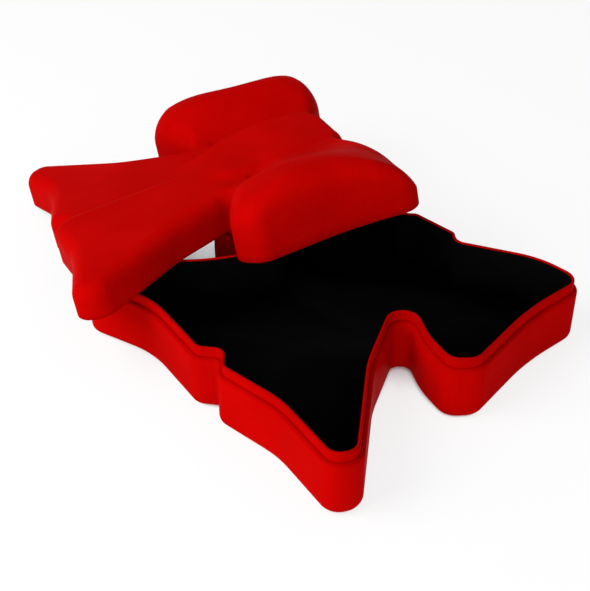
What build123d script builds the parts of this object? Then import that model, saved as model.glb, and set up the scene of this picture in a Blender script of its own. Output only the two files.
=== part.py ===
"""Bow-shaped leather box: a moulded tray with a standing collar, and a loose lid in the form of a ribbon bow.

Millimetres, +Z up.  The origin is on the table, under the middle of the tray.  +Y runs up the bow, away from
its tails, and +X runs towards its right-hand loop.  The lid is off, turned a little and leaning on the tray.
"""

import os

from build123d import *

# Leather, suede and board, by thickness
shell_leather = 1.6
collar_leather = 1.1
lid_leather = 1.3
lining_suede = 0.6
floor_board_paper = 1.2
floor_pad_suede = 0.8
glue_gap = 0.3

# Tray heights
tray_wall = 22.8
collar_rise = 4.2
bottom_round = 3.5
lining_below_collar = 0.5

# Lid relief: x, y and height of each tail's top at its root, at the crease's end and at its tip
right_tail_top = [(0.0, 10.0, 18.4), (4.0, -62.0, 16.6), (66.0, -62.0, 14.0)]
left_tail_top = [(0.0, 10.0, 17.2), (-3.0, -62.0, 15.4), (-66.0, -60.0, 14.8)]
tail_roll = 5.0

# Lid relief: the knot's line along the bow, as y and height
knot_line = [(-20.0, 13.5), (2.0, 18.0), (18.0, 21.2), (38.0, 22.4), (54.0, 21.2), (66.0, 15.6)]
knot_roll = 4.0

# Lid relief: each loop swells from the pinch beside the knot to a ridge near its outer end, arched along that end
loop_pinch = 22.0
loop_ridge = 58.0
loop_end = 73.0
loop_root_height = 19.5
loop_end_fall = 0.06
loop_arch_drop = 0.93
right_arch = {"height": 28.8, "middle": 27.0, "reach": 42.0, "power": 2.0}
left_arch = {"height": 31.0, "middle": 35.0, "reach": 47.0, "power": 3.4}
loop_roll = 3.5
loop_xs = [8, 14, 19, 24, 29, 34, 39, 44, 49, 54, 58, 62, 66, 70, 74, 78, 82]
loop_ys = range(-14, 82, 4)
lid_height = 34.0
lid_lip = 5.0

# Where the loose lid lies: its middle, its turn about Z, then its tilt about its own X and Y
lid_spot = (-82.0, 6.0, 21.6)
lid_turn = -22.0
lid_pitch = 6.69
lid_roll = -11.13

# Corners of the bow's outline: x, y and the radius there
crease = (4.0, -62.0, 1.5)
right_tail_end = [
    (10.5, -68.0, 6.5),
    (38.5, -65.5, 45.0),
    (70.5, -72.0, 7.5),
    (76.5, -62.0, 8.0),
]
left_tail_end = [
    (-75.5, -59.0, 8.0),
    (-68.5, -69.5, 7.5),
    (-38.0, -61.0, 45.0),
    (-3.0, -67.5, 6.5),
]
right_side = [
    (46.5, -25.5, 60.0),
    (26.5, 11.0, 4.0),
    (49.0, -2.4, 40.0),
    (64.5, -7.0, 8.0),
    (72.5, 2.0, 9.0),
    (66.5, 40.5, 120.0),
    (68.5, 72.5, 9.0),
    (45.5, 73.0, 40.0),
    (15.5, 58.5, 3.0),
    (11.0, 62.5, 5.0),
]
left_side = [(-x, y, radius) for x, y, radius in reversed(right_side)]
bow_corners = [crease, *right_tail_end, *right_side, *left_side, *left_tail_end]

# Cuts that part the bow into its ribbons, well inside one another where they meet
tails_cut = [(20.0, 22.0), (30.5, 11.0), (90.0, -50.0), (90.0, -90.0)]
right_tail_flank = [(8.0, -90.0), (1.2, -66.6)]
right_tail_crease = [(6.4, -62.6), (-4.0, 22.0)]
left_tail_cut = [(6.0, 22.0), *[(-x, y) for x, y in tails_cut], (3.6, -90.0), (3.6, -66.4), (9.2, -62.0)]
knot_side = [(12.0, -12.0), (19.0, 16.0), (17.0, 58.5), (17.0, 90.0)]
loop_cut = [(8.0, 12.0), (26.5, 10.3), (90.0, -30.0), (90.0, 90.0), (16.0, 90.0), (15.5, 58.5), (8.0, 50.0)]

# The bow's outline as one face
with BuildSketch() as bow:
    with BuildLine():
        Polyline(*[(x, y) for x, y, _ in bow_corners], close=True)
    make_face()
    for x, y, radius in bow_corners:
        fillet(bow.vertices().sort_by_distance((x, y, 0))[0], radius=radius)


def bow_inside(inset):
    """The bow drawn in all round by a thickness of leather."""
    with BuildSketch() as outline:
        add(bow.sketch)
        if inset:
            offset(amount=-inset)
    return outline.sketch


def ribbon(cut, inset):
    """The part of the drawn-in bow that lies inside a cut."""
    whole = bow_inside(inset)
    with BuildSketch() as outline:
        add(whole)
        with BuildLine():
            Polyline(*cut, close=True)
        make_face(mode=Mode.INTERSECT)
    return outline.sketch


def band(outer, inner, low, high):
    """An upright band between two insets of the bow."""
    outside, inside = bow_inside(outer), bow_inside(inner)
    with BuildPart() as wall:
        with BuildSketch(Plane.XY.offset(low)):
            add(outside)
            add(inside, mode=Mode.SUBTRACT)
        extrude(amount=high - low)
    return wall.part


def tray_block(inset, low, high, round_radius):
    """A solid block of the bow's outline with its lower edge rounded."""
    outline = bow_inside(inset)
    with BuildPart() as block:
        with BuildSketch(Plane.XY.offset(low)):
            add(outline)
        extrude(amount=high - low)
        fillet(block.faces().sort_by(Axis.Z)[0].edges(), radius=round_radius)
    return block.part


def tail(cut, top, inset):
    """One tail: a slab under a sloping top, its outer edges rolled over."""
    root, crease_end, tip = [Vector(*point) - (0, 0, inset) for point in top]
    slope = Plane(root, z_dir=(crease_end - root).cross(tip - root))
    if slope.z_dir.Z < 0:
        slope = -slope
    outline = ribbon(cut, inset)
    with BuildPart() as form:
        add(outline)
        extrude(amount=lid_height)
        split(bisect_by=slope, keep=Keep.BOTTOM)
        upper = form.faces().sort_by(Axis.Z)[-1].edges()
        fillet(upper.sort_by_distance(tip)[:1], radius=tail_roll - inset)
    return form.part


def right_tail(inset):
    """The right-hand tail, whose inner edge lies over the left one along the crease."""
    lapped = [(x + inset, y) for x, y in right_tail_crease]
    return tail([*tails_cut, *right_tail_flank, *lapped], right_tail_top, inset)


def knot(inset):
    """The knot: it rises out of the tails, stays level and rolls down at the end of the bow."""
    line = [(y, z - inset) for y, z in knot_line]
    side = [(x - inset, y) for x, y in knot_side]
    outline = ribbon([*side, *[(-x, y) for x, y in reversed(side)]], inset)
    with BuildPart() as form:
        with BuildSketch(Plane.YZ):
            with BuildLine():
                top = Spline(*line)
                Polyline(top @ 0, (line[0][0], 0), (line[-1][0], 0), top @ 1)
            make_face()
        extrude(amount=2 * knot_side[1][0], both=True)
        with BuildSketch():
            add(outline)
        extrude(amount=lid_height, mode=Mode.INTERSECT)
        fillet(form.faces().sort_by(Axis.Z)[-1].edges(), radius=knot_roll - inset)
    return form.part


def loop_top(x, y, arch):
    """Height of a loop: an ease from its level root to its ridge, which is arched, and a fall past the ridge."""
    ease = min(max((x - loop_pinch) / (loop_ridge - loop_pinch), 0), 1)
    ease *= ease * (3 - 2 * ease)
    along = min(abs(y - arch["middle"]) / arch["reach"], 1)
    ridge = arch["height"] - loop_end_fall * max(x - loop_ridge, 0) ** 2
    return loop_root_height * (1 - ease) + ridge * ease * (1 - loop_arch_drop * along ** arch["power"]) ** 0.5


def loop(side, arch, inset):
    """One loop: pinched beside the knot and swelling to its ridge, its upper edges rolled over."""
    rows = [[Vector(side * x, y, loop_top(x, y, arch) - inset) for y in loop_ys] for x in loop_xs]
    below = extrude(Face.make_surface_from_array_of_points(rows), amount=2 * lid_height, dir=(0, 0, -1))
    outline = ribbon([(side * x, y) for x, y in loop_cut], inset)
    with BuildPart() as form:
        add(outline)
        extrude(amount=lid_height)
        add(below, mode=Mode.INTERSECT)
        upper = form.faces().filter_by(GeomType.BSPLINE).sort_by(SortBy.AREA)[-1].edges()
        fillet(upper.sort_by_distance((side * loop_end, arch["middle"], arch["height"]))[:1], radius=loop_roll - inset)
    return form.part


def lid_form(inset):
    """The lid's whole relief as one solid, drawn in by a thickness of leather."""
    ribbons = [
        tail(left_tail_cut, left_tail_top, inset),
        right_tail(inset),
        loop(1, right_arch, inset),
        loop(-1, left_arch, inset),
        knot(inset),
    ]
    with BuildPart() as form:
        add(ribbons)
    return form.part


os.makedirs("parts", exist_ok=True)

# Heights and insets that follow from the thicknesses
collar_inset = shell_leather + collar_leather
wall_lining_inset = collar_inset + lining_suede
board_top = shell_leather + floor_board_paper
pad_top = board_top + floor_pad_suede
collar_top = tray_wall + collar_rise
lid_lining_inset = lid_leather + lining_suede

# Tray shell: one moulded piece of leather, its floor turning up into the wall in a round
tray_outside = tray_block(0, 0, tray_wall, bottom_round)
tray_inside = tray_block(shell_leather, shell_leather, tray_wall, bottom_round - shell_leather)
with BuildPart() as base_shell:
    add(tray_outside)
    add(tray_inside, mode=Mode.SUBTRACT)
base_shell.part.label = "base_shell"

# Collar: a band of leather glued inside the wall and standing above it, which the lid drops over
collar_band = band(shell_leather, collar_inset, pad_top, collar_top)
with BuildPart() as base_collar:
    add(collar_band)
base_collar.part.label = "base_collar"

# Wall lining: suede glued to the inside of the collar
lining_band = band(collar_inset, wall_lining_inset, pad_top, collar_top - lining_below_collar)
with BuildPart() as base_wall_lining:
    add(lining_band)
base_wall_lining.part.label = "base_wall_lining"

# Floor board: stiff paper board laid in the tray to keep its floor flat
board_outline = bow_inside(bottom_round)
with BuildPart() as base_floor_board:
    with BuildSketch(Plane.XY.offset(shell_leather)):
        add(board_outline)
    extrude(amount=floor_board_paper)
base_floor_board.part.label = "base_floor_board"

# Floor lining: suede over the board, under the edges of the collar and the wall lining
pad_outline = bow_inside(shell_leather + glue_gap)
with BuildPart() as base_floor_lining:
    with BuildSketch(Plane.XY.offset(board_top)):
        add(pad_outline)
    extrude(amount=floor_pad_suede)
base_floor_lining.part.label = "base_floor_lining"

# Lid shell: one moulded piece of leather in the form of the bow, open below
lid_outside = lid_form(0)
lid_inside = lid_form(lid_leather)
with BuildPart() as lid_shell:
    add(lid_outside)
    add(lid_inside, mode=Mode.SUBTRACT)
lid_shell.part.label = "lid_shell"

# Lid lining: suede glued inside the shell, ending above the lip that drops over the collar
lid_hollow = lid_form(lid_lining_inset)
with BuildPart() as lid_lining:
    add(lid_inside)
    add(lid_hollow, mode=Mode.SUBTRACT)
    split(bisect_by=Plane.XY.offset(lid_lip), keep=Keep.TOP)
lid_lining.part.label = "lid_lining"

# The loose lid is laid where it leans
lid_place = Pos(*lid_spot) * Rot(Z=lid_turn) * Rot(X=lid_pitch) * Rot(Y=lid_roll)
lid_shell.part.location = lid_place
lid_lining.part.location = lid_place

export_step(base_shell.part, "parts/base_shell.step")
export_step(base_collar.part, "parts/base_collar.step")
export_step(base_wall_lining.part, "parts/base_wall_lining.step")
export_step(base_floor_board.part, "parts/base_floor_board.step")
export_step(base_floor_lining.part, "parts/base_floor_lining.step")
export_step(lid_shell.part, "parts/lid_shell.step")
export_step(lid_lining.part, "parts/lid_lining.step")
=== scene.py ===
"""A red leather box in the outline of a tied ribbon bow, open, with its lid leaning on the tray.

Blender's lengths are metres and the formulas' are millimetres.  +Y runs up the bow from its tails, and +X
towards its right loop.
"""

import bpy
import numpy as np
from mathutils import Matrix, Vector
from mathutils.geometry import delaunay_2d_cdt


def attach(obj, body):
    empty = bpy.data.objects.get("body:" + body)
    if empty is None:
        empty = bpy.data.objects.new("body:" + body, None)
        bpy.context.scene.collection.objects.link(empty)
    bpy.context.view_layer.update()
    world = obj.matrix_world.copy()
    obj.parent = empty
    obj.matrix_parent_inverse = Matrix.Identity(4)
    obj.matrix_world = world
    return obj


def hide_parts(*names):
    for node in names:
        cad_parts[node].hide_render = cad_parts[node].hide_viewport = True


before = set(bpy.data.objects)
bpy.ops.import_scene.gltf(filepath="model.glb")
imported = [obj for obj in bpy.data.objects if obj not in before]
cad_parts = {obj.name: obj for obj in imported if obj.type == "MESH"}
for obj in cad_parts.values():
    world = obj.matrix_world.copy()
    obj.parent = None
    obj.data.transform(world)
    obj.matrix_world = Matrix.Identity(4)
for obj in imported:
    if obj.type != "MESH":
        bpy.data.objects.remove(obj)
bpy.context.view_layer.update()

# Tray shell
# One piece of vegetable-tanned leather, wet-moulded over a wooden form: the floor turns up into the wall in
# a round, and the cut upper edge is left as a shoulder for the lid.
MM = 0.001

# The bow's corners round its edge from the crease between the tails: x, y and the radius of the arc there
bow_crease = (4.0, -62.0, 1.5)
bow_right = [
    (10.5, -68.0, 6.5), (38.5, -65.5, 45.0), (70.5, -72.0, 7.5), (76.5, -62.0, 8.0), (46.5, -25.5, 60.0),
    (26.5, 11.0, 4.0), (49.0, -2.4, 40.0), (64.5, -7.0, 8.0), (72.5, 2.0, 9.0), (66.5, 40.5, 120.0),
    (68.5, 72.5, 9.0), (45.5, 73.0, 40.0), (15.5, 58.5, 3.0), (11.0, 62.5, 5.0),
]
bow_left = [(-x, y, radius) for x, y, radius in reversed(bow_right[4:])]
bow_left_tail = [(-75.5, -59.0, 8.0), (-68.5, -69.5, 7.5), (-38.0, -61.0, 45.0), (-3.0, -67.5, 6.5)]
bow_corners = np.array([bow_crease, *bow_right, *bow_left, *bow_left_tail])
arc_steps = 25


def bow_outline(spacing):
    """The bow as evenly spaced points and inward normals: each corner is an arc tangent to its two sides."""
    corner, radius = bow_corners[:, :2], bow_corners[:, 2:]
    back = np.roll(corner, 1, 0) - corner
    ahead = np.roll(corner, -1, 0) - corner
    back /= np.linalg.norm(back, axis=1, keepdims=True)
    ahead /= np.linalg.norm(ahead, axis=1, keepdims=True)
    half = np.arccos((back * ahead).sum(1, keepdims=True)) / 2
    middle = (back + ahead) / np.linalg.norm(back + ahead, axis=1, keepdims=True)
    centre = corner + middle * radius / np.sin(half)
    sweep = np.linspace(-1, 1, arc_steps)[None, :, None] * (np.pi / 2 - half)[:, None]
    across = np.sign(np.cross(back, ahead))[:, None] * np.stack([middle[:, 1], -middle[:, 0]], 1)
    arcs = centre[:, None] - radius[:, None] * (
        middle[:, None] * np.cos(sweep) + across[:, None] * np.sin(sweep))
    line = arcs.reshape(-1, 2)
    line = np.vstack([line, line[:1]])
    run = np.concatenate([[0], np.cumsum(np.linalg.norm(np.diff(line, axis=0), axis=1))])
    at = np.linspace(0, run[-1], int(run[-1] / spacing), endpoint=False)
    point = np.column_stack([np.interp(at, run, line[:, 0]), np.interp(at, run, line[:, 1])])
    along = np.roll(point, -1, 0) - np.roll(point, 1, 0)
    along /= np.linalg.norm(along, axis=1, keepdims=True)
    return point, np.column_stack([-along[:, 1], along[:, 0]])


ring_spacing = 0.8


def sweep_profile(profile):
    """Rings of the bow, one for each inset and height of a profile: point plus inset times inward normal."""
    point, inward = bow_outline(ring_spacing)
    profile = np.array(profile, float)
    flat = point[None] + inward[None] * profile[:, :1, None]
    high = np.broadcast_to(profile[:, 1:, None], (*flat.shape[:2], 1))
    return np.concatenate([flat, high], 2)


def round_corner(centre, radius, start, stop, steps=6):
    """Points of an arc of the profile, from one angle to another, in degrees."""
    angle = np.radians(np.linspace(start, stop, steps))
    return np.column_stack([centre[0] + radius * np.cos(angle), centre[1] + radius * np.sin(angle)])


def add_piece(name, points, faces):
    """A smooth mesh object from points in millimetres and faces that point outwards."""
    mesh = bpy.data.meshes.new(name)
    mesh.from_pydata((points * MM).tolist(), [], faces)
    mesh.shade_smooth()
    piece = bpy.data.objects.new(name, mesh)
    bpy.context.scene.collection.objects.link(piece)
    return piece


def add_rings(name, rings, caps):
    """A mesh from rings that follow one another, with a flat face at the ends that caps names."""
    count, length = rings.shape[:2]
    index = np.arange(count * length).reshape(count, length)
    beside = np.roll(index, -1, 1)
    faces = np.stack([index[:-1], beside[:-1], beside[1:], index[1:]], 2).reshape(-1, 4).tolist()
    if "first" in caps:
        faces.append(index[0][::-1].tolist())
    if "last" in caps:
        faces.append(index[-1].tolist())
    return add_piece(name, rings.reshape(-1, 3), faces)


def mark(piece, name, values):
    """Keeps one number from 0 to 1 for each point of a piece, for its material to read."""
    kept = np.clip(values, 0, 1).astype(np.float32).ravel()
    piece.data.attributes.new(name, "FLOAT", "POINT").data.foreach_set("value", kept)


shell_leather = 1.6
tray_wall = 22.8
bottom_round = 3.5
edge_round = 1.3
outer_rings = (9.0, 15.0)
inner_ring = 12.0
shell_profile = np.vstack([
    round_corner((bottom_round, bottom_round), bottom_round, 270, 180, steps=9),
    [(0.0, height) for height in outer_rings],
    round_corner((edge_round, tray_wall - edge_round), edge_round, 180, 90),
    [(shell_leather, tray_wall), (shell_leather, inner_ring)],
    round_corner((bottom_round, bottom_round), bottom_round - shell_leather, 180, 270, steps=5),
])
shell_rings = sweep_profile(shell_profile)
tray_shell = add_rings("tray_shell", shell_rings, ("first", "last"))
mark(tray_shell, "burnished", shell_rings[:, :, 2] - tray_wall + edge_round)
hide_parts("base_shell")
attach(tray_shell, "base")


def linear(hex_colour):
    """An sRGB hex colour as linear red, green, blue and alpha, by the sRGB curve."""
    value = np.array([int(hex_colour[i:i + 2], 16) for i in (1, 3, 5)]) / 255
    value = np.where(value <= 0.04045, value / 12.92, ((value + 0.055) / 1.055) ** 2.4)
    return (*value.tolist(), 1.0)


def node(tree, kind, settings=None, **inputs):
    """Adds a node, sets its own settings, and sets or links each named input."""
    made = tree.nodes.new(kind)
    for key, value in (settings or {}).items():
        setattr(made, key, value)
    for key, value in inputs.items():
        socket = made.inputs[key.replace("_", " ")]
        if isinstance(value, bpy.types.NodeSocket):
            tree.links.new(value, socket)
        else:
            socket.default_value = value
    return made


def new_material(name):
    """A new material with its node tree, its shader and its Object coordinates."""
    material = bpy.data.materials.new(name)
    material.use_nodes = True
    tree = material.node_tree
    place = node(tree, "ShaderNodeTexCoord").outputs["Object"]
    return material, tree, tree.nodes["Principled BSDF"], place


# Dyed vegetable-tanned leather, wet-moulded and waxed: an even red with cloudy dye and wax, a pebbled grain,
# drawn a few times coarser than the real one so that it shows, hollows where a hand pressed it, puckers where
# it was pinched, and darker, smoother burnished edges.  Nearly all that the eye gets is the dye's own colour.
dye_cloud = 26.0
dye_thin, dye_full = 0.3, 0.7
leather_grain, grain_depth = 1.1, 0.2
hand_press, press_depth = 9.0, 0.8
pucker_width, pucker_depth = 3.0, 1.0
pucker_turn = np.radians(22.0)
pucker_stretch = (0.3, 1.0, 0.5)
rough_bare, rough_waxed = 0.48, 0.38
edge_darker, edge_smoother = 0.82, 0.7
leather_specular = 0.001
red_leather, tree, shader, place = new_material("dyed_moulded_leather")
cloud = node(tree, "ShaderNodeTexNoise", Vector=place, Scale=1 / (dye_cloud * MM), Detail=3.0)
dye = node(tree, "ShaderNodeValToRGB", Fac=cloud.outputs["Fac"])
dye.color_ramp.elements[0].position = dye_thin
dye.color_ramp.elements[0].color = linear("#a60201")
dye.color_ramp.elements[1].position = dye_full
dye.color_ramp.elements[1].color = linear("#b20302")
grain = node(tree, "ShaderNodeTexVoronoi", {"feature": "SMOOTH_F1"}, Vector=place,
             Scale=1 / (leather_grain * MM))
pebbled = node(tree, "ShaderNodeBump", Height=grain.outputs["Distance"], Strength=0.12,
               Distance=grain_depth * MM)
press = node(tree, "ShaderNodeTexNoise", Vector=place, Scale=1 / (hand_press * MM), Detail=2.0)
pressed = node(tree, "ShaderNodeBump", Height=press.outputs["Fac"], Strength=0.5, Distance=press_depth * MM,
               Normal=pebbled.outputs["Normal"])
across_lid = node(tree, "ShaderNodeMapping", Vector=place, Rotation=(0.0, 0.0, pucker_turn),
                  Scale=pucker_stretch)
pucker = node(tree, "ShaderNodeTexNoise", Vector=across_lid.outputs["Vector"], Scale=1 / (pucker_width * MM),
              Detail=2.0)
pinched = node(tree, "ShaderNodeAttribute", {"attribute_name": "pinched"})
puckered = node(tree, "ShaderNodeBump", Height=pucker.outputs["Fac"], Strength=pinched.outputs["Fac"],
                Distance=pucker_depth * MM, Normal=pressed.outputs["Normal"])
burnished = node(tree, "ShaderNodeAttribute", {"attribute_name": "burnished"}).outputs["Fac"]
edge_dye = node(tree, "ShaderNodeMapRange", Value=burnished, To_Min=1.0, To_Max=edge_darker)
dyed = node(tree, "ShaderNodeHueSaturation", Value=edge_dye.outputs["Result"], Color=dye.outputs["Color"])
waxed = node(tree, "ShaderNodeMapRange", Value=cloud.outputs["Fac"], From_Min=dye_thin, From_Max=dye_full,
             To_Min=rough_bare, To_Max=rough_waxed)
edge_polish = node(tree, "ShaderNodeMapRange", Value=burnished, To_Min=1.0, To_Max=edge_smoother)
satin = node(tree, "ShaderNodeMath", {"operation": "MULTIPLY"})
tree.links.new(waxed.outputs["Result"], satin.inputs[0])
tree.links.new(edge_polish.outputs["Result"], satin.inputs[1])
tree.links.new(dyed.outputs["Color"], shader.inputs["Base Color"])
tree.links.new(satin.outputs["Value"], shader.inputs["Roughness"])
tree.links.new(puckered.outputs["Normal"], shader.inputs["Normal"])
shader.inputs["Specular IOR Level"].default_value = leather_specular
tray_shell.data.materials.append(red_leather)

# Tray collar
# A narrower band of thinner leather, glued inside the wall and standing above it: the lid drops over it.  Its
# cut upper edge is rounded and burnished.
collar_leather = 1.1
collar_low = 3.6
collar_top = 27.0
collar_ring = 25.0
collar_inside = shell_leather + collar_leather
collar_edge = collar_leather / 2
collar_profile = np.vstack([
    [(shell_leather, collar_low), (shell_leather, tray_wall), (shell_leather, collar_ring)],
    round_corner((shell_leather + collar_edge, collar_top - collar_edge), collar_edge, 180, 0, steps=9),
    [(collar_inside, collar_low), (shell_leather, collar_low)],
])
collar_rings = sweep_profile(collar_profile)
tray_collar = add_rings("tray_collar", collar_rings, ())
mark(tray_collar, "burnished", (collar_rings[:, :, 2] - collar_top) / collar_leather + 1)
tray_collar.data.materials.append(red_leather)
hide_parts("base_collar")
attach(tray_collar, "base")

# Tray wall lining
# Thin black suede glued to the inside of the collar, from the floor to a little below the collar's edge, with
# its cut edge just broken.
lining_suede = 0.6
lining_drop = 0.5
lining_round = 0.2
lining_ring = 14.0
lining_top = collar_top - lining_drop
lining_inside = collar_inside + lining_suede
lining_profile = [
    (collar_inside, collar_low), (collar_inside, lining_top - lining_round),
    (collar_inside + lining_round, lining_top), (lining_inside - lining_round, lining_top),
    (lining_inside, lining_top - lining_round), (lining_inside, lining_ring), (lining_inside, collar_low),
    (collar_inside, collar_low),
]
wall_lining = add_rings("tray_wall_lining", sweep_profile(lining_profile), ())
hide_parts("base_wall_lining")
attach(wall_lining, "base")

# Black split suede with a short nap: it takes in nearly all light, with a soft mottle where the nap was
# brushed one way or the other.
suede_brush = 9.0
suede_nap, nap_depth = 0.5, 0.1
black_suede, tree, shader, place = new_material("black_split_suede")
brushed = node(tree, "ShaderNodeTexNoise", Vector=place, Scale=1 / (suede_brush * MM), Detail=2.0)
nap_colour = node(tree, "ShaderNodeValToRGB", Fac=brushed.outputs["Fac"])
nap_colour.color_ramp.elements[0].color = linear("#040404")
nap_colour.color_ramp.elements[1].color = linear("#0a0909")
nap = node(tree, "ShaderNodeTexNoise", Vector=place, Scale=1 / (suede_nap * MM), Detail=1.0)
nap_bump = node(tree, "ShaderNodeBump", Height=nap.outputs["Fac"], Strength=0.3, Distance=nap_depth * MM)
tree.links.new(nap_colour.outputs["Color"], shader.inputs["Base Color"])
tree.links.new(nap_bump.outputs["Normal"], shader.inputs["Normal"])
shader.inputs["Roughness"].default_value = 1.0
shader.inputs["Specular IOR Level"].default_value = 0.0
wall_lining.data.materials.append(black_suede)

# Tray floor board
# A grey paper board under the floor lining, which keeps the leather floor flat.  It is pressed from pulp, so
# short fibres mottle it and it has no shine.
board_fibre = 1.5
grey_board, tree, shader, place = new_material("pressed_grey_board")
fibre = node(tree, "ShaderNodeTexNoise", Vector=place, Scale=1 / (board_fibre * MM), Detail=4.0)
pulp = node(tree, "ShaderNodeValToRGB", Fac=fibre.outputs["Fac"])
pulp.color_ramp.elements[0].color = linear("#8b877f")
pulp.color_ramp.elements[1].color = linear("#a8a49b")
tree.links.new(pulp.outputs["Color"], shader.inputs["Base Color"])
shader.inputs["Roughness"].default_value = 0.9
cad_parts["base_floor_board"].data.materials.clear()
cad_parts["base_floor_board"].data.materials.append(grey_board)

# Tray floor lining
# The same black suede laid over the board and glued down, with its edge under the collar and the wall lining.
floor_low, floor_high = 2.8, 3.6
floor_gap = 0.3
floor_inset = shell_leather + floor_gap
floor_profile = [(floor_inset, floor_low), (floor_inset, floor_high)]
floor_lining = add_rings("tray_floor_lining", sweep_profile(floor_profile), ("first", "last"))
floor_lining.data.materials.append(black_suede)
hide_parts("base_floor_lining")
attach(floor_lining, "base")

# Lid shell
# One piece of leather wet-moulded over a carved bow: two loops that swell from the pinch beside the knot, the
# knot growing out of the tails, and the right tail lapped over the left one.
lid_leather = 1.3
lid_spot = np.array([-82.0, 6.0, 21.6])
lid_turn, lid_pitch, lid_roll = np.radians([-22.0, 6.69, -11.13])


def lid_place(points):
    """Points of the lid's own frame, tilted about Y and then X, turned about Z, and moved to its spot."""
    turn_cos, turn_sin = np.cos(lid_turn), np.sin(lid_turn)
    pitch_cos, pitch_sin = np.cos(lid_pitch), np.sin(lid_pitch)
    roll_cos, roll_sin = np.cos(lid_roll), np.sin(lid_roll)
    about_z = np.array([[turn_cos, -turn_sin, 0], [turn_sin, turn_cos, 0], [0, 0, 1]])
    about_x = np.array([[1, 0, 0], [0, pitch_cos, -pitch_sin], [0, pitch_sin, pitch_cos]])
    about_y = np.array([[roll_cos, 0, roll_sin], [0, 1, 0], [-roll_sin, 0, roll_cos]])
    return points @ (about_z @ about_x @ about_y).T + lid_spot


def ease(x):
    """A smooth step from 0 to 1: three times the square less twice the cube."""
    x = np.clip(x, 0, 1)
    return x * x * (3 - 2 * x)


def plane_height(points, x, y):
    """Height at x, y of the plane through three points."""
    a, b, c = np.array(points)
    across = np.cross(b - a, c - a)
    return a[2] - (across[0] * (x - a[0]) + across[1] * (y - a[1])) / across[2]


# The line that parts tails from loops leaves the knot at a gentle slope and bends down into the deep notch
notch_start, notch_slope = (8.0, 12.0), -0.27
notch_bend, notch_steep = (34.0, 5.0), -0.95
notch_fall = 1.5


def notch_line(x):
    """The y of two straight lines, the same on both sides: one from the start and one from the bend."""
    x = np.abs(x)
    inner = notch_start[1] + notch_slope * (x - notch_start[0])
    outer = notch_bend[1] + notch_steep * (x - notch_bend[0])
    return np.where(x < notch_bend[0], inner, outer)


# Each tail's flat top by three points, and the crease where the right tail laps over the left one
right_tail_top = [(0.0, 10.0, 18.4), (4.0, -62.0, 16.6), (66.0, -62.0, 14.0)]
left_tail_top = [(0.0, 10.0, 17.3), (-3.0, -62.0, 15.5), (-66.0, -60.0, 16.0)]
crease_foot, crease_head = (6.4, -62.6), (-4.0, 22.0)
crease_lip = 3.5
tail_overlap = 6.0


def tails_height(x, y):
    """Two sloping planes; the right one ends in a rounded lip over the left one along the crease."""
    lean = (crease_head[0] - crease_foot[0]) / (crease_head[1] - crease_foot[1])
    past = x - crease_foot[0] - lean * (y - crease_foot[1])
    lip = np.sqrt(1 - (1 - np.clip(past / crease_lip, 0, 1)) ** 2)
    left = plane_height(left_tail_top, x, y)
    right = plane_height(right_tail_top, x, y)
    return left + (right - left) * lip - notch_fall * np.maximum(y - notch_line(x) - tail_overlap, 0)


# The knot's crest as y and height, and its half width as y and x.  Its right side leans down and spreads out.
knot_line = np.array([(-20.0, 13.5), (2.0, 18.4), (14.0, 21.8), (28.0, 24.2), (45.0, 25.2), (62.0, 23.5)])
knot_crest = np.polyfit(knot_line[:, 0], knot_line[:, 1], 4)
knot_foot, knot_head = -20.0, 66.0
knot_side = np.array([(-12.0, 12.0), (16.0, 20.0), (57.5, 17.5), (90.0, 17.5)])
knot_left_roll, knot_right_roll = 3.0, 7.0
knot_lean, lean_start, lean_run = 4.0, 5.0, 20.0
knot_spread, spread_end, spread_run = 4.0, 58.0, 20.0
knot_fade = -14.0
side_fall = 3.0


def knot_height(x, y):
    """A crest along the bow, less a lean to the right and a quarter circle at each side, tight at left."""
    radius = np.where(x > 0, knot_right_roll, knot_left_roll)
    side = np.interp(y, knot_side[:, 0], knot_side[:, 1])
    spread = np.where(x > 0, knot_spread * ease((spread_end - y) / spread_run), 0)
    inner = np.abs(x) - side - spread + radius
    roll = np.clip(inner / radius, 0, 1)
    crest = np.polyval(knot_crest, np.clip(y, knot_foot, knot_head))
    lean = knot_lean * ease((y - lean_start) / lean_run) * np.clip(x / side + 1, 0, 2) / 2
    height = crest - lean - radius * (1 - np.sqrt(1 - roll ** 2))
    return height - side_fall * np.maximum(inner - radius, 0) - np.maximum(knot_fade - y, 0)


# Each loop: the x of its pinch and its ridge, the ridge's height, the y of its middle, how far it reaches
# down and up the bow from there, the power of its arch, and the root's low and high level and its rise
right_loop = {"pinch": 22.0, "ridge": 54.0, "height": 29.5, "middle": 25.5, "reach": (42.5, 48.0),
              "power": 1.9, "root": (14.5, 20.5, 22.0)}
left_loop = {"pinch": 20.0, "ridge": 58.0, "height": 31.5, "middle": 35.3, "reach": (47.2, 47.2),
             "power": 3.45, "root": (14.5, 19.5, 50.0)}
root_start = 8.0
arch_drop = 0.93
knot_cover = 8.0


def loop_height(x, y, loop):
    """An ease from a root, which rises beside the knot, to a ridge, which is arched along the loop's end."""
    out = ease((np.abs(x) - loop["pinch"]) / (loop["ridge"] - loop["pinch"]))
    reach = np.where(y < loop["middle"], loop["reach"][0], loop["reach"][1])
    along = np.clip(np.abs(y - loop["middle"]) / reach, 0, 1)
    ridge = loop["height"] * np.sqrt(1 - arch_drop * along ** loop["power"])
    low, high, rise = loop["root"]
    root = low + (high - low) * ease((y - root_start) / rise)
    return root * (1 - out) + ridge * out


def loops_height(x, y):
    """Each loop on its own side, falling away across the notches and under the knot."""
    height = np.where(x > 0, loop_height(x, y, right_loop), loop_height(x, y, left_loop))
    height = height - notch_fall * np.maximum(notch_line(x) - y, 0)
    return height - side_fall * np.maximum(knot_cover - np.abs(x), 0)


crease_sharpness = 1.6


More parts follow.
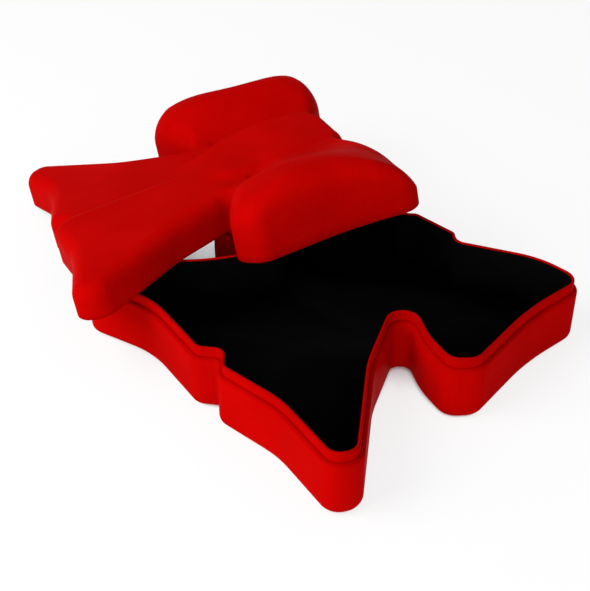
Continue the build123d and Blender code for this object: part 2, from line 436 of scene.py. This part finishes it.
def lid_relief(x, y):
    """The ribbons' heights run together in soft creases: the log of the sum of their exponentials."""
    heights = np.stack([tails_height(x, y), knot_height(x, y), loops_height(x, y)])
    top = heights.max(0)
    return top + np.log(np.exp(crease_sharpness * (heights - top)).sum(0)) / crease_sharpness


# How the lid's upper edge rolls over round the bow: x, y, width of the roll and its share of the height there
edge_rolls = np.array([
    (4.0, -62.0, 5.0, 0.35), (10.5, -68.0, 5.0, 0.35), (38.5, -65.5, 6.0, 0.40), (70.5, -72.0, 6.0, 0.42),
    (76.5, -62.0, 6.0, 0.45), (46.5, -25.5, 6.0, 0.45), (34.0, 6.0, 5.0, 0.40), (64.5, -7.0, 7.0, 0.33),
    (72.5, 2.0, 9.0, 0.33), (67.5, 40.0, 11.0, 0.30), (68.5, 72.5, 8.0, 0.33), (45.5, 72.0, 6.0, 0.38),
    (15.5, 58.5, 3.5, 0.30), (11.0, 62.5, 5.0, 0.35), (-11.0, 62.5, 5.0, 0.35), (-15.5, 58.5, 3.5, 0.30),
    (-45.5, 72.0, 6.0, 0.38), (-68.5, 72.5, 8.0, 0.33), (-67.5, 40.0, 11.0, 0.30), (-72.5, 2.0, 9.0, 0.33),
    (-64.5, -7.0, 7.0, 0.33), (-34.0, 6.0, 5.0, 0.40), (-46.5, -25.5, 6.0, 0.45), (-75.5, -59.0, 6.0, 0.45),
    (-68.5, -69.5, 6.0, 0.42), (-38.0, -61.0, 6.0, 0.40), (-3.0, -67.5, 5.0, 0.35),
])
roll_blend = 30.0
edge_spacing = 1.0


def distances(x, y, marks):
    """How far each point lies from each mark."""
    return np.hypot(x[:, None] - marks[None, :, 0], y[:, None] - marks[None, :, 1])


def lid_height(x, y, inset):
    """The relief less a quarter ellipse at the bow's edge, sized by the rolls near it, and less the inset."""
    outline, _ = bow_outline(edge_spacing)
    away = distances(x, y, outline).min(1) - inset
    weight = 1 / (distances(x, y, edge_rolls) ** 3 + roll_blend)
    weight /= weight.sum(1, keepdims=True)
    width, share = weight @ edge_rolls[:, 2] - inset, weight @ edge_rolls[:, 3]
    inward = np.clip(away / width, 0, 1)
    return lid_relief(x, y) * (1 - share * (1 - np.sqrt(1 - (1 - inward) ** 2))) - inset


ring_depths = np.array([0.15, 0.5, 1.1, 2.0, 3.1, 4.4])
grid_reach = 80.0
grid_clear = 0.6
faces_inside, weld = 1, 1e-6


def lid_skin(inset, spacing):
    """Points, triangles and rim of the bow's top: rings of points inside the edge, and a grid further in."""
    rim, inward = bow_outline(spacing)
    rim = rim + inward * inset
    rings = (rim[None] + inward[None] * ring_depths[:, None, None]).reshape(-1, 2)
    side = np.arange(-grid_reach, grid_reach, spacing)
    grid = np.stack(np.meshgrid(side, side), 2).reshape(-1, 2)
    away = distances(grid[:, 0], grid[:, 1], rim[::3]).min(1)
    grid = grid[away > ring_depths[-1] + grid_clear * spacing]
    spread = [Vector(point) for point in np.vstack([rim, rings, grid]).tolist()]
    edges = [(i, (i + 1) % len(rim)) for i in range(len(rim))]
    made = delaunay_2d_cdt(spread, edges, [], faces_inside, weld)
    flat = np.array([tuple(point) for point in made[0]])
    first = {origin: i for i, origins in enumerate(made[3]) for origin in origins}
    used, faces = np.unique(np.array(made[2]), return_inverse=True)
    return flat[used], faces.reshape(-1, 3), np.searchsorted(used, [first[i] for i in range(len(rim))])


wall_steps = (0.8, 0.6, 0.4, 0.2)
back_steps = (0.35, 0.7)
lip_turns = np.radians(np.linspace(180, 360, 7))


def lid_shape(outer, inner, spacing, edge):
    """A closed skin between two insets: outer top, wall, a half round along the lower edge, and inner top."""
    flat, faces, rim = lid_skin(outer, spacing)
    top = np.column_stack([flat, lid_height(flat[:, 0], flat[:, 1], outer)])
    flat_in, faces_in, rim_in = lid_skin(inner, spacing)
    roof = np.column_stack([flat_in, lid_height(flat_in[:, 0], flat_in[:, 1], inner)])
    bend = (inner - outer) / 2
    foot = edge + bend
    high, low = top[rim], roof[rim_in]
    wall = [np.column_stack([high[:, :2], foot + (high[:, 2] - foot) * step]) for step in wall_steps]
    lip = [np.column_stack([high[:, :2] + (low - high)[:, :2] * (1 + np.cos(turn)) / 2,
                            np.full(len(high), foot + bend * np.sin(turn))]) for turn in lip_turns]
    back = [np.column_stack([low[:, :2], foot + (low[:, 2] - foot) * step]) for step in back_steps]
    rings = np.stack([*wall, *lip, *back])
    ring_index = np.arange(rings.shape[0] * rings.shape[1]).reshape(rings.shape[:2])
    index = np.vstack([rim, len(top) + len(roof) + ring_index, len(top) + rim_in])
    beside = np.roll(index, -1, 1)
    quads = np.stack([index[:-1], index[1:], beside[1:], beside[:-1]], 2).reshape(-1, 4)
    points = np.vstack([top, roof, rings.reshape(-1, 3)])
    return points, [*faces.tolist(), *(faces_in[:, ::-1] + len(top)).tolist(), *quads.tolist()]


# Where the wet leather was pinched in round the knot and at the near loop's root: x, y, reach and strength
pinches = np.array([
    (46.0, 5.0, 9.0, 0.9), (30.0, 16.0, 8.0, 0.9), (28.0, 28.0, 8.0, 0.6), (28.0, 42.0, 8.0, 0.2),
    (-24.0, 20.0, 7.0, 0.3), (-24.0, 46.0, 8.0, 0.3), (30.0, 9.0, 7.0, 0.6), (-30.0, 9.0, 7.0, 0.5),
])
burnished_edge = 1.5
shell_points, shell_faces = lid_shape(outer=0.0, inner=lid_leather, spacing=1.0, edge=0.0)
lid_shell = add_piece("lid_shell_leather", lid_place(shell_points), shell_faces)
pinch_far = distances(shell_points[:, 0], shell_points[:, 1], pinches) / pinches[:, 2]
mark(lid_shell, "pinched", (pinches[:, 3] * np.exp(-pinch_far ** 2)).max(1))
mark(lid_shell, "burnished", burnished_edge - shell_points[:, 2])
lid_shell.data.materials.append(red_leather)
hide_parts("lid_shell")
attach(lid_shell, "lid")

# Lid lining
# Black suede glued inside the lid's leather, ending above the lip that drops over the tray's collar.  It
# follows the moulded form in one thickness.
lid_lip = 5.0
lining_points, lining_faces = lid_shape(outer=lid_leather, inner=lid_leather + lining_suede, spacing=2.0,
                                        edge=lid_lip)
lid_lining = add_piece("lid_lining_suede", lid_place(lining_points), lining_faces)
lid_lining.data.materials.append(black_suede)
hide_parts("lid_lining")
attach(lid_lining, "lid")

# Floor, light and camera
# A plain white sheet of paper, one large soft light from the upper left of the camera, and a weaker fill.
# The paper shows white where the sky reaches it, with a share of the box's shadow and grey in narrow gaps.
paper, tree, shader, place = new_material("white_paper_floor")
shader.inputs["Base Color"].default_value = linear("#f4f4f4")
shader.inputs["Roughness"].default_value = 0.9
shader.inputs["Specular IOR Level"].default_value = 0.1
shadow_share = 0.2
gap_reach = 60.0
gap_closed, gap_open = 0.08, 0.26


def seen_ray(tree):
    """1 for rays that show how a surface looks, straight, mirrored or through glass, and 0 for its light."""
    ray = node(tree, "ShaderNodeLightPath")
    seen = node(tree, "ShaderNodeMath", {"operation": "MAXIMUM"})
    tree.links.new(ray.outputs["Is Camera Ray"], seen.inputs[0])
    tree.links.new(ray.outputs["Is Glossy Ray"], seen.inputs[1])
    clear = node(tree, "ShaderNodeMath", {"operation": "MAXIMUM"})
    tree.links.new(seen.outputs[0], clear.inputs[0])
    tree.links.new(ray.outputs["Is Transmission Ray"], clear.inputs[1])
    return clear.outputs[0]


open_floor = node(tree, "ShaderNodeAmbientOcclusion", Distance=gap_reach * MM)
lit = node(tree, "ShaderNodeMapRange", Value=open_floor.outputs["AO"], From_Min=gap_closed,
           From_Max=gap_open, To_Max=1 - shadow_share)
glow_share = node(tree, "ShaderNodeMath", {"operation": "MULTIPLY"})
tree.links.new(seen_ray(tree), glow_share.inputs[0])
tree.links.new(lit.outputs["Result"], glow_share.inputs[1])
white = node(tree, "ShaderNodeEmission", Strength=1.0)
blend = node(tree, "ShaderNodeMixShader", Fac=glow_share.outputs[0])
tree.links.new(shader.outputs["BSDF"], blend.inputs[1])
tree.links.new(white.outputs["Emission"], blend.inputs[2])
tree.links.new(blend.outputs["Shader"], tree.nodes["Material Output"].inputs["Surface"])
floor_reach = 3.0
floor_below = 0.1 * MM
floor_corners = [(-floor_reach, -floor_reach, -floor_below), (floor_reach, -floor_reach, -floor_below),
                 (floor_reach, floor_reach, -floor_below), (-floor_reach, floor_reach, -floor_below)]
floor_mesh = bpy.data.meshes.new("paper_floor")
floor_mesh.from_pydata(floor_corners, [], [(0, 1, 2, 3)])
floor = bpy.data.objects.new("paper_floor", floor_mesh)
bpy.context.scene.collection.objects.link(floor)
floor.data.materials.append(paper)

camera_spot = Vector((0.2570, -0.2641, 0.27987))
camera_target = Vector((-0.0289, 0.0073, 0.00077))
camera = bpy.data.objects.new("camera", bpy.data.cameras.new("camera"))
camera.data.lens = 70.05
camera.data.sensor_width = 36.0
camera.location = camera_spot
camera.rotation_euler = (camera_target - camera_spot).to_track_quat("-Z", "Y").to_euler()
bpy.context.scene.collection.objects.link(camera)
bpy.context.scene.camera = camera

light_target = Vector((-0.03, 0.0, 0.02))
light_size = 0.8


def add_soft_light(name, spot, power):
    """A square soft light that looks at the middle of the box."""
    light = bpy.data.lights.new(name, "AREA")
    light.size = light_size
    light.energy = power
    lamp = bpy.data.objects.new(name, light)
    lamp.location = spot
    lamp.rotation_euler = (light_target - Vector(spot)).to_track_quat("-Z", "Y").to_euler()
    bpy.context.scene.collection.objects.link(lamp)


add_soft_light("key_light", spot=(-0.35, -0.75, 0.75), power=11.2)
add_soft_light("fill_light", spot=(0.78, -0.73, 0.30), power=5.5)
sky_light = 0.45
world = bpy.data.worlds.new("studio")
world.use_nodes = True
bpy.context.scene.world = world
sky = world.node_tree
strength = node(sky, "ShaderNodeMapRange", Value=seen_ray(sky), To_Min=sky_light, To_Max=1.0)
sky.nodes["Background"].inputs["Color"].default_value = linear("#ffffff")
sky.links.new(strength.outputs["Result"], sky.nodes["Background"].inputs["Strength"])
bpy.context.scene.view_settings.view_transform = "Standard"
